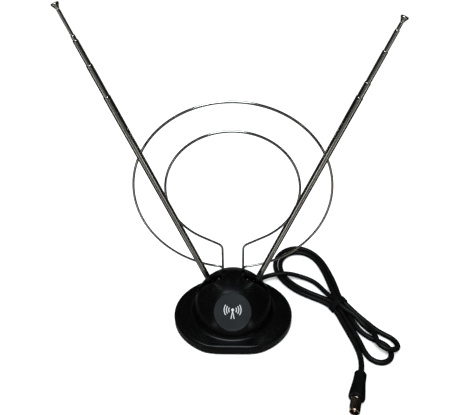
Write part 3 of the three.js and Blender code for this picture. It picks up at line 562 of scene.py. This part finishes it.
def cover_field(x, y, z):
    """The top cover: plate and dome, hollowed out, with its badge recess, slots and holes.
    The bare numbers are the radii of its rounded edges."""
    side = np.abs(x)
    rim = outline_field(x, y, 0)
    plate = round_max(rim, z - PLATE_TOP, PLATE_EDGE)
    body = np.maximum(round_min(plate, dome_field(x, y, z, 0), DOME_FILLET), rim)

    normal_y, normal_z = -math.cos(BADGE_ELEVATION), math.sin(BADGE_ELEVATION)
    along = (y - DOME_Y) * normal_y + (z - PLATE_TOP) * normal_z
    across = (y - DOME_Y) * normal_z - (z - PLATE_TOP) * normal_y
    radial = np.hypot(x, across)

    from_screw = np.hypot(side - SCREW_X, np.abs(y) - SCREW_Y)
    room = round_max(outline_field(x, y, WALL), z - (PLATE_TOP - WALL), 1.5)
    room = np.minimum(room, dome_field(x, y, z, WALL))
    from_seat = radial - BADGE_RADIUS - BADGE_SEAT_WIDTH
    room = np.maximum(room, -np.maximum(from_seat, BADGE_FACE - BADGE_SEAT_DEPTH - along))
    room = np.maximum(room, -np.maximum(from_screw - PILLAR_RADIUS, PILLAR_FOOT - z))
    body = np.maximum(body, -room)
    body = np.maximum(body, -np.maximum(from_screw - SCREW_HOLE_RADIUS, z - SCREW_HOLE_TOP))
    body = round_max(body, PLATE_BOTTOM - z, 0.5)

    recess = round_max(radial - BADGE_RADIUS - BADGE_GAP, BADGE_FACE - BADGE_DEPTH - along, 0.3)
    body = round_max(body, -recess, 0.5)
    body = round_max(body, -slot_field(side, y, z), 0.7)
    from_stems = np.hypot(side - STEM_X, y - np.clip(y, INNER_LOOP["y"], OUTER_LOOP["y"]))
    wire_hole = np.maximum(from_stems - WIRE_RADIUS - WIRE_HOLE_GAP, WIRE_HOLE_LOW - z)
    body = round_max(body, -wire_hole, 0.35)

    out_x, out_y = math.cos(CORD_HEADING), math.sin(CORD_HEADING)
    from_exit = (x - CORD_EXIT[0]) * out_x + (y - CORD_EXIT[1]) * out_y
    off_axis = np.hypot((x - CORD_EXIT[0]) * -out_y + (y - CORD_EXIT[1]) * out_x, z - CORD_EXIT[2])
    start, end = CORD_HOLE_SPAN
    past_ends = np.abs(from_exit - (start + end) / 2) - (end - start) / 2
    cord_hole = np.maximum(off_axis - CORD_HOLE_RADIUS, past_ends)
    return round_max(body, -cord_hole, 0.4)


def surface_nets(field, low, high, step):
    """Vertices, quads and normals of the surface where the field is zero. One vertex is put in
    each grid cell that the surface crosses, and is then drawn on to the surface."""
    axes = [np.arange(a, b + step, step) for a, b in zip(low, high)]
    grid = np.stack(np.meshgrid(*axes, indexing="ij"), axis=-1)
    value = field(grid[..., 0], grid[..., 1], grid[..., 2])
    inside = value < 0
    shape = [n - 1 for n in value.shape]
    corners = [(i, j, k) for i in (0, 1) for j in (0, 1) for k in (0, 1)]

    def shifted(array, corner):
        return array[tuple(slice(c, c + n) for c, n in zip(corner, shape))]

    count = sum(shifted(inside, corner).astype(np.int8) for corner in corners)
    active = (count > 0) & (count < 8)
    cells = np.argwhere(active)
    number = -np.ones(shape, dtype=np.int64)
    number[active] = np.arange(len(cells))
    values = {c: value[tuple((cells + c).T)] for c in corners}
    total = np.zeros((len(cells), 3))
    crossings = np.zeros(len(cells))
    for a in corners:
        for axis in range(3):
            if a[axis]:
                continue
            b = tuple(1 if n == axis else c for n, c in enumerate(a))
            cut = (values[a] < 0) != (values[b] < 0)
            t = np.where(cut, values[a] / np.where(cut, values[a] - values[b], 1), 0)
            place = np.array(a, float)[None, :].repeat(len(cells), axis=0)
            place[:, axis] = t
            total += place * cut[:, None]
            crossings += cut
    vertices = np.array(low) + step * (cells + total / crossings[:, None])

    faces = []
    for axis in range(3):
        b, c = (axis + 1) % 3, (axis + 2) % 3
        start = [slice(0, n) for n in value.shape]
        end = [slice(0, n) for n in value.shape]
        start[axis], end[axis] = slice(0, -1), slice(1, None)
        first, last = inside[tuple(start)], inside[tuple(end)]
        for flip in (False, True):
            edge = np.argwhere((first & ~last) if not flip else (~first & last))
            keep = (edge[:, b] > 0) & (edge[:, c] > 0)
            keep &= (edge[:, b] < shape[b]) & (edge[:, c] < shape[c])
            edge = edge[keep]
            quad = []
            for db, dc in ((-1, -1), (0, -1), (0, 0), (-1, 0)):
                cell = edge.copy()
                cell[:, b] += db
                cell[:, c] += dc
                quad.append(number[tuple(cell.T)])
            quad = np.stack(quad, axis=1)
            faces.append(quad[:, ::-1] if flip else quad)
    faces = np.concatenate(faces)

    def gradient(points, reach=0.03):
        slopes = []
        for axis in range(3):
            ahead, behind = points.copy(), points.copy()
            ahead[:, axis] += reach
            behind[:, axis] -= reach
            slopes.append((field(*ahead.T) - field(*behind.T)) / (2 * reach))
        return np.stack(slopes, axis=1)

    rounds, furthest = 3, 0.4 * step
    for _ in range(rounds):
        slope = gradient(vertices)
        size = np.maximum((slope ** 2).sum(axis=1), 0.2)
        change = -field(*vertices.T)[:, None] * slope / size[:, None]
        vertices = vertices + np.clip(change, -furthest, furthest)
    normals = gradient(vertices)
    normals /= np.maximum(np.linalg.norm(normals, axis=1), 1e-6)[:, None]
    return vertices, faces, normals


# The grid on which the cover is meshed.
COVER_STEP, COVER_QUICK_STEP = 0.62, 1.2
COVER_LOW, COVER_HIGH = (-63.03, -49.07, -0.51), (63.5, 49.5, 55.5)


def build_cover():
    step = COVER_STEP
    vertices, faces, normals = surface_nets(cover_field, COVER_LOW, COVER_HIGH, step)
    mesh = bpy.data.meshes.new("cover_shell")
    mesh.from_pydata((vertices * MM).tolist(), [], faces.tolist())
    mesh.polygons.foreach_set("use_smooth", [True] * len(mesh.polygons))
    mesh.normals_split_custom_set_from_vertices(normals.tolist())
    mesh.materials.append(MATERIALS["black_plastic"])
    shell = link_object("cover_shell", mesh)
    finish_piece(shell, "base", "top_cover")


# ---------------------------------------------------------------- base pieces
def build_badge():
    """A disc with a raised rim, and a pictogram on its face."""
    edge = BADGE_RADIUS
    back, rim, front = BADGE_FACE - 0.9, BADGE_FACE + 0.3, BADGE_FACE + 0.08
    profile = rounded([
        (0, back), (edge, back), (edge, rim, 0.35), (edge - 0.9, rim, 0.25),
        (edge - 1.1, front, 0.2), (0, front),
    ], 0.2)
    vertices, faces, _ = lathe(profile, 128)
    waves, wave_faces = broadcast_mark(front)
    offset = len(vertices)
    vertices = np.concatenate([vertices, waves])
    turn = Matrix.Rotation(math.pi / 2 - BADGE_ELEVATION, 4, "X")
    tilt = Matrix.Translation((0, DOME_Y, PLATE_TOP)) @ turn
    badge = make_object(
        "badge_face", moved(vertices, tilt),
        faces + [tuple(v + offset for v in f) for f in wave_faces], "badge_plastic",
    )
    badge.data.materials.append(PRINT.material)
    for polygon in badge.data.polygons:
        polygon.material_index = 1 if min(polygon.vertices) >= offset else 0
    finish_piece(badge, "base", "badge_disc")


def broadcast_mark(height):
    """A plain pictogram of a mast with waves on each side, as thin raised strips."""
    vertices, faces = [], []
    low, high = height - 0.05, height + 0.06
    hub, hub_radius = (0, 2.0), 1.3
    wave_radii, wave_width, wave_reach = (3.4, 5.6, 7.8), 0.8, 0.62

    def strip(inner, outer, start, end, steps):
        first = len(vertices)
        for step in range(steps + 1):
            angle = start + (end - start) * step / steps
            for radius in (inner, outer):
                x = hub[0] + radius * math.cos(angle)
                y = hub[1] + radius * math.sin(angle)
                vertices.extend([(x, y, low), (x, y, high)])
        for step in range(steps):
            a, b = first + 4 * step, first + 4 * (step + 1)
            faces.extend([
                (a + 1, a + 3, b + 3, b + 1), (a, b, b + 2, a + 2),
                (a, a + 1, b + 1, b), (a + 2, b + 2, b + 3, a + 3),
            ])
        last = first + 4 * steps
        faces.append((first, first + 2, first + 3, first + 1))
        faces.append((last, last + 1, last + 3, last + 2))

    for facing in (0, math.pi):
        for radius in wave_radii:
            strip(radius, radius + wave_width, facing - wave_reach, facing + wave_reach, 20)
    strip(0.01, hub_radius, 0, 2 * math.pi, 40)
    mast = [
        (-0.35, 1.2), (0.35, 1.2), (1.9, -6.5), (1.1, -6.5), (0, -0.6), (-1.1, -6.5), (-1.9, -6.5),
    ]
    first = len(vertices)
    for z in (low, high):
        vertices.extend((x, y, z) for x, y in mast)
    count = len(mast)
    faces.append(tuple(first + count + n for n in reversed(range(count))))
    faces.append(tuple(first + n for n in range(count)))
    for n in range(count):
        after = (n + 1) % count
        faces.append((first + after, first + n, first + count + n, first + count + after))
    return np.array(vertices), faces


def screw_mesh(head_radius, head_height, shank_radius, length):
    """A round-headed screw with a cross recess in its head, pointing down the Z axis."""
    profile = rounded([
        (0, -length), (shank_radius * 0.7, -length), (shank_radius, -length + 0.8),
        (shank_radius, 0), (head_radius, 0), (head_radius, head_height * 0.55),
        (head_radius * 0.72, head_height), (0, head_height),
    ], 0.25)
    head_rings = 12
    for step in range(1, head_rings):
        profile.insert(len(profile) - 1, (head_radius * 0.7 * (1 - step / head_rings), head_height))
    vertices, faces, _ = lathe(profile, 48)
    reach, half = head_radius * 0.55, head_radius * 0.13
    for vertex in vertices:
        x, y = abs(vertex[0]), abs(vertex[1])
        on_top = vertex[2] > head_height - 0.02
        if on_top and max(x, y) < reach and min(x, y) < half:
            vertex[2] -= head_height * 0.45
    return vertices, faces


def build_fasteners():
    """The four base screws and the four feet, one of each at each corner."""
    foot = rounded([(0, 0), (FOOT_RADIUS, 0), (FOOT_RADIUS, FOOT_HEIGHT), (0, FOOT_HEIGHT)], 0.5)
    upside_down = Matrix.Rotation(math.pi, 4, "X")
    for number, (sx, sy) in enumerate([(-1, -1), (1, -1), (1, 1), (-1, 1)], start=1):
        place = Matrix.Translation((sx * SCREW_X, sy * SCREW_Y, SCREW_SEAT)) @ upside_down
        vertices, faces = screw_mesh(head_radius=2.8, head_height=1.2, shank_radius=1.1, length=6)
        screw = make_object(f"cover_screw_{number}", moved(vertices, place), faces, "zinc_steel")
        finish_piece(screw, "base", f"base_screw_{number}")
        place = Matrix.Translation((sx * FOOT_X, sy * FOOT_Y, 0))
        vertices, faces, _ = lathe(foot, 64)
        pad = make_object(f"foot_pad_{number}", moved(vertices, place), faces, "rubber")
        finish_piece(pad, "base", f"rubber_foot_{number}")


def build_grommet():
    """The lead's strain relief: a sleeve whose three rings get smaller outward."""
    rings = [(2.95, -5), (3.9, -5), (3.9, 1.4), (3.75, 1.7)]
    for index in range(3):
        z = 2.2 + 1.8 * index
        radius = 3.85 - 0.14 * index
        neck = radius - 0.35
        rings += [(radius, z), (radius, z + 0.9), (neck, z + 1.15), (neck, z + 1.6)]
    rings += [(3.35, 7.6), (3.2, 8.0), (2.95, 8.0)]
    vertices, faces, _ = lathe(rounded(rings, 0.18, closed=True, steps=3), 64, closed=True)
    turn = Matrix.Rotation(CORD_HEADING, 4, "Z") @ Matrix.Rotation(math.pi / 2, 4, "Y")
    place = Matrix.Translation(CORD_EXIT) @ turn
    grommet = make_object("strain_relief", moved(vertices, place), faces, "rubber")
    finish_piece(grommet, "base", "cable_grommet")
    return grommet


# ---------------------------------------------------------------- ears
def ear_matrix(word):
    """From the ear's own frame, with the pivot at its origin and the tubes along +Z."""
    side = 1 if word == "right" else -1
    turn = Matrix.Rotation(math.radians(LEAN[word]), 4, "Y")
    return Matrix.Translation((side * HINGE_X, HINGE_Y, HINGE_Z)) @ turn


def tube_profile(low, high, radius, bore, lip_bore, bush_radius):
    """Wall of a telescopic section: a groove below its top, then a rolled collar."""
    points = [(bore, low)]
    if bush_radius:
        bush_top = low + BUSH_LENGTH
        points += [(bush_radius, low), (bush_radius, bush_top), (radius, bush_top + BUSH_STEP)]
    else:
        points += [(radius - 0.15, low), (radius, low + 0.6)]
    groove = radius - 0.09
    points += [
        (radius, high - 3.5, 0.3), (groove, high - 3.2, 0.2), (groove, high - 2.8, 0.2),
        (radius, high - 2.5, 0.3), (radius, high - 0.2, 0.55), (radius - 0.35, high, 0.3),
        (lip_bore, high, 0.2), (lip_bore, high - 1.2), (bore, high - 1.6),
    ]
    return rounded(points, 0.12, closed=True)


def build_knuckle(word, place):
    """The ear's hinge end: an eye for the pivot screw, a neck, and a collar with a plug."""
    vertices, faces = [], []

    def join(part, part_faces):
        offset = sum(len(v) for v in vertices)
        vertices.append(np.asarray(part))
        faces.extend(tuple(index + offset for index in face) for face in part_faces)

    eye, eye_faces, _ = lathe(rounded(
        [(1.75, -1.5), (3.6, -1.5), (3.6, 1.5), (1.75, 1.5)], 0.25, closed=True), 64, closed=True)
    join(moved(eye, Matrix.Rotation(math.pi / 2, 4, "X")), eye_faces)
    collar, collar_faces, _ = lathe(rounded(
        [(0, 5.6), (2.5, 5.6), (3, 6.2), (3, 9, 0.3), (2.4, 9), (2.4, 16), (0, 16)], 0.2), 64)
    join(collar, collar_faces)
    section = ((-2.4, -1.45), (2.4, -1.45), (2.4, 1.45), (-2.4, 1.45))
    neck = [(x, y, z) for z in (2.8, 6.4) for x, y in section]
    join(neck, [(3, 2, 1, 0), (4, 5, 6, 7), (0, 1, 5, 4), (1, 2, 6, 5), (2, 3, 7, 6), (3, 0, 4, 7)])
    knuckle = make_object(
        f"{word}_knuckle", moved(np.concatenate(vertices), place), faces, "zinc_steel")
    finish_piece(knuckle, f"{word}_ear", f"{word}_ear_knuckle")


def build_ear(word):
    """The hinge end, four tubes, and the innermost rod with its button."""
    place = ear_matrix(word)

    def chrome_piece(name, profile, sides, body, node, closed=False):
        vertices, faces, uv = lathe(profile, sides, closed=closed)
        finish_piece(make_object(name, moved(vertices, place), faces, "chrome", uv), body, node)

    build_knuckle(word, place)
    top = OUTER_TUBE_TOP
    profile = tube_profile(OUTER_TUBE_LOW, top, *TUBES[0], TUBES[1][0] + SLIDE_GAP, None)
    chrome_piece(f"{word}_mast_1", profile, 72, f"{word}_ear", f"{word}_tube_1", closed=True)
    inner_radii = (TUBES[2][0], TUBES[3][0], TIP_RADIUS)
    for index, inner in enumerate(inner_radii):
        top += PULLS[word][index]
        low = top - SECTION_LENGTHS[index]
        bush = TUBES[index][1] - SLIDE_GAP
        profile = tube_profile(low, top, *TUBES[index + 1], inner + SLIDE_GAP, bush)
        number = index + 2
        body, node = f"{word}_section_{number}", f"{word}_tube_{number}"
        chrome_piece(f"{word}_mast_{number}", profile, 64, body, node, closed=True)
    top += PULLS[word][3]
    low = top - SECTION_LENGTHS[3]
    bush = TUBES[3][1] - SLIDE_GAP
    rod = rounded([
        (0, low), (bush, low), (bush, low + BUSH_LENGTH),
        (TIP_RADIUS, low + BUSH_LENGTH + BUSH_STEP), (TIP_RADIUS, top), (0, top),
    ], 0.15)
    chrome_piece(f"{word}_tip", rod, 48, f"{word}_tip", f"{word}_tip_rod")
    button = rounded([
        (0, top + 0.3), (1.5, top + 0.3, 0.2), (1.75, top + 1.1, 0.5), (2.1, top + 2.0, 0.8),
        (2.95, top + 3.2, 0.5), (3.0, top + 4.0, 0.35), (2.6, top + 4.45, 0.5), (0, top + 4.5),
    ], 0.3, steps=6)
    chrome_piece(f"{word}_button", button, 64, f"{word}_tip", f"{word}_tip_cap")


# ---------------------------------------------------------------- wire loops
def loop_line(radius, centre_z, y, leave, bend):
    """A circle open at the bottom, whose ends bend down into the dome. It starts at the right."""
    opening = math.asin(leave / radius)
    leave_point = np.array((leave, y, centre_z - radius * math.cos(opening)))
    corner = np.array((STEM_X, y, leave_point[2] - (leave - STEM_X) * math.tan(opening)))
    back = bend * math.tan((math.pi / 2 - opening) / 2)
    bend_start = corner + back * np.array((math.cos(opening), 0, math.sin(opening)))
    bend_end = corner - np.array((0, 0, back))
    foot = np.array((STEM_X, y, STEM_END_Z))
    right = [foot * (1 - t) + bend_end * t for t in np.linspace(0, 1, 30)]
    for t in np.linspace(0, 1, 16)[1:]:
        right.append((1 - t) ** 2 * bend_end + 2 * t * (1 - t) * corner + t ** 2 * bend_start)
    if np.linalg.norm(bend_start - leave_point) > 0.5 and bend_start[0] < leave_point[0]:
        right += [bend_start * (1 - t) + leave_point * t for t in np.linspace(0, 1, 12)[1:]]
    right = [p for p in right if p[0] < leave - 1e-6]
    round_part = []
    for angle in np.linspace(-math.pi / 2 + opening, 1.5 * math.pi - opening, 400):
        x, z = radius * math.cos(angle), centre_z + radius * math.sin(angle)
        round_part.append(np.array((x, y, z)))
    left = [p * np.array((-1, 1, 1)) for p in reversed(right)]
    return even_steps(np.array(right + round_part + left), LOOP_STEP)


def build_loops():
    for name, size in (("outer", OUTER_LOOP), ("inner", INNER_LOOP)):
        vertices, faces, uv = sweep(loop_line(**size), WIRE_RADIUS, first_up=(0, 1, 0))
        ring = make_object(f"{name}_ring", vertices, faces, "chrome", uv, weighted=False)
        finish_piece(ring, "base", f"{name}_loop")


# ---------------------------------------------------------------- lead, tie and plug
def build_tie():
    """A strap drawn tight round the strands, with rounded edges."""
    # Where the strands' centres pass through the tie, across and up.
    strands = [(-6.2, 3.7), (-0.6, 3.7), (5.0, 3.7), (0.3, 9.6), (6.1, 9.2)]
    angles = np.linspace(0, 2 * math.pi, 240, endpoint=False)

    def wrap(radius):
        reach = np.array([
            max(a * math.cos(t) + b * math.sin(t) for a, b in strands) for t in angles
        ])
        slope = np.gradient(np.concatenate([reach[-2:], reach, reach[:2]]), angles[1])[2:-2]
        points = []
        for t, r, s in zip(angles, reach + radius, slope):
            points.append((r * math.cos(t) - s * math.sin(t), r * math.sin(t) + s * math.cos(t)))
        return np.array(points)

    half, inner, outer = 3.5, 2.8, 3.6
    corners = [(-half, inner), (half, inner), (half, outer), (-half, outer)]
    section = rounded(corners, 0.3, closed=True)
    vertices, faces = [], []
    loops = [(along, wrap(radius)) for along, radius in section]
    count = len(angles)
    for along, loop in loops:
        vertices.extend((along, across, z) for across, z in loop)
    for ring in range(len(loops)):
        after_ring = (ring + 1) % len(loops)
        for step in range(count):
            after = (step + 1) % count
            faces.append((ring * count + step, ring * count + after,
                          after_ring * count + after, after_ring * count + step))
    place = Matrix.Translation((*TIE_AT, 0)) @ Matrix.Rotation(TIE_HEADING, 4, "Z")
    tie = make_object("strap_tie", moved(vertices, place), faces, "rubber", weighted=False)
    finish_piece(tie, "base", "cord_tie")
    return tie


def build_plug():
    """The plug along its own +Z: a ribbed grip, a metal sleeve, an insulator and a pin."""
    turn = Matrix.Rotation(PLUG_HEADING, 4, "Z") @ Matrix.Rotation(math.pi / 2, 4, "Y")
    place = Matrix.Translation(PLUG_REAR) @ turn
    rib_count, rib_depth = 16, 0.045

    def ribs(angle, z):
        """Grooves along the grip, which fade out at both ends."""
        strength = np.clip((z - 1.4) / 1.2, 0, 1) * np.clip((17.5 - z) / 2.5, 0, 1)
        return 1 - rib_depth * strength * (0.5 - 0.5 * math.cos(rib_count * angle)) ** 0.6

    body = rounded([
        (0, 0.3), (2.9, 0.3), (5.0, 0.3, 0.5), (5.6, 1.2, 0.5), (5.6, 9, 4), (7.2, 23.4, 4),
        (7.3, 26.4, 0.8), (6.8, 27.4, 0.5), (5.05, 27.4, 0.2), (5.05, 19.4), (0, 19.4),
    ], 0.3, steps=6)
    # The grip gets a point every 0.6 mm or so, so that its grooves can fade out.
    fine = []
    for (r0, z0), (r1, z1) in zip(body, body[1:]):
        steps = max(int(math.dist((r0, z0), (r1, z1)) / 0.6), 1)
        fine += [(r0 + (r1 - r0) * n / steps, z0 + (z1 - z0) * n / steps) for n in range(steps)]
    fine.append(body[-1])
    sleeve = rounded([
        (4.1, 19.7), (4.75, 19.7), (4.75, 28.6, 0.3), (4.6, 28.9, 0.2), (4.6, 29.3, 0.2),
        (4.75, 29.6, 0.3), (4.75, 40.2, 0.5), (4.4, 41), (4.1, 41),
    ], 0.15, closed=True)
    insulator = rounded([(1.45, 19.7), (3.8, 19.7), (3.8, 29.4), (1.45, 29.4)], 0.2, closed=True)
    pin = rounded([(0, 19.7), (1.15, 19.7), (1.15, 38.6, 0.6), (0.55, 40, 0.6), (0, 40)], 0.2)
    pieces = []
    for name, node, profile, closed, wave, slot in (
        ("plug_grip", "plug_body", fine, False, ribs, "rubber"),
        ("plug_shell", "plug_sleeve", sleeve, True, None, "nickel"),
        ("plug_core", "plug_insulator", insulator, True, None, "insulator"),
        ("plug_contact", "plug_pin", pin, False, None, "brass"),
    ):
        vertices, faces, uv = lathe(profile, 160 if wave else 72, closed=closed, wave=wave)
        piece = make_object(name, moved(vertices, place), faces, slot, uv)
        finish_piece(piece, "base", node)
        pieces.append(piece)
    return pieces


def build_cord(on_it):
    """The coaxial lead. on_it, the pieces that sit on it, is not used."""
    line = smooth_line(ROUTE, CORD_STEP)
    vertices, faces, uv = sweep(line, CORD_RADIUS)
    cord = make_object("coax_lead", vertices, faces, "cord_jacket", uv, weighted=False)
    finish_piece(cord, "base", "cord_lead", "cord_tail", "cord_bundle", "cord_upper_hank",
                 "cord_lower_hank")


# ---------------------------------------------------------------- pieces kept from the CAD model
KEPT = {
    "black_plastic": ["bottom_cover"],
    "ballast": ["ballast_weight"],
    "laminate": ["balun_board"],
    "ferrite": ["balun_core"],
    "nickel": ["left_loop_terminal", "right_loop_terminal"],
    "zinc_steel": [
        f"{word}_{part}" for word in ("left", "right")
        for part in ("pivot_bracket", "bracket_screw", "pivot_screw", "pivot_nut", "spring_washer",
                     "terminal_screw", "board_screw")
    ],
    "cord_jacket": ["coax_inner_run", "left_feed_wire", "right_feed_wire"],
}


def finish_kept_nodes():
    """Gives the pieces that are shown as the CAD model has them their materials."""
    for slot, names in KEPT.items():
        for name in names:
            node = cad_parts[name]
            node.data.materials.clear()
            node.data.materials.append(MATERIALS[slot])


def build_floor():
    quarters = ((-1, -1), (1, -1), (1, 1), (-1, 1))
    corners = [(x * FLOOR_REACH, y * FLOOR_REACH, FLOOR_Z) for x, y in quarters]
    mesh = bpy.data.meshes.new("floor")
    mesh.from_pydata(corners, [], [(0, 1, 2, 3)])
    mesh.materials.append(floor_material())
    link_object("floor", mesh)


place_camera()
light_the_set()
build_floor()
build_surround()
finish_kept_nodes()
build_cover()
build_badge()
build_fasteners()
build_loops()
for ear in ("left", "right"):
    build_ear(ear)
build_cord([build_grommet(), build_tie(), *build_plug()])
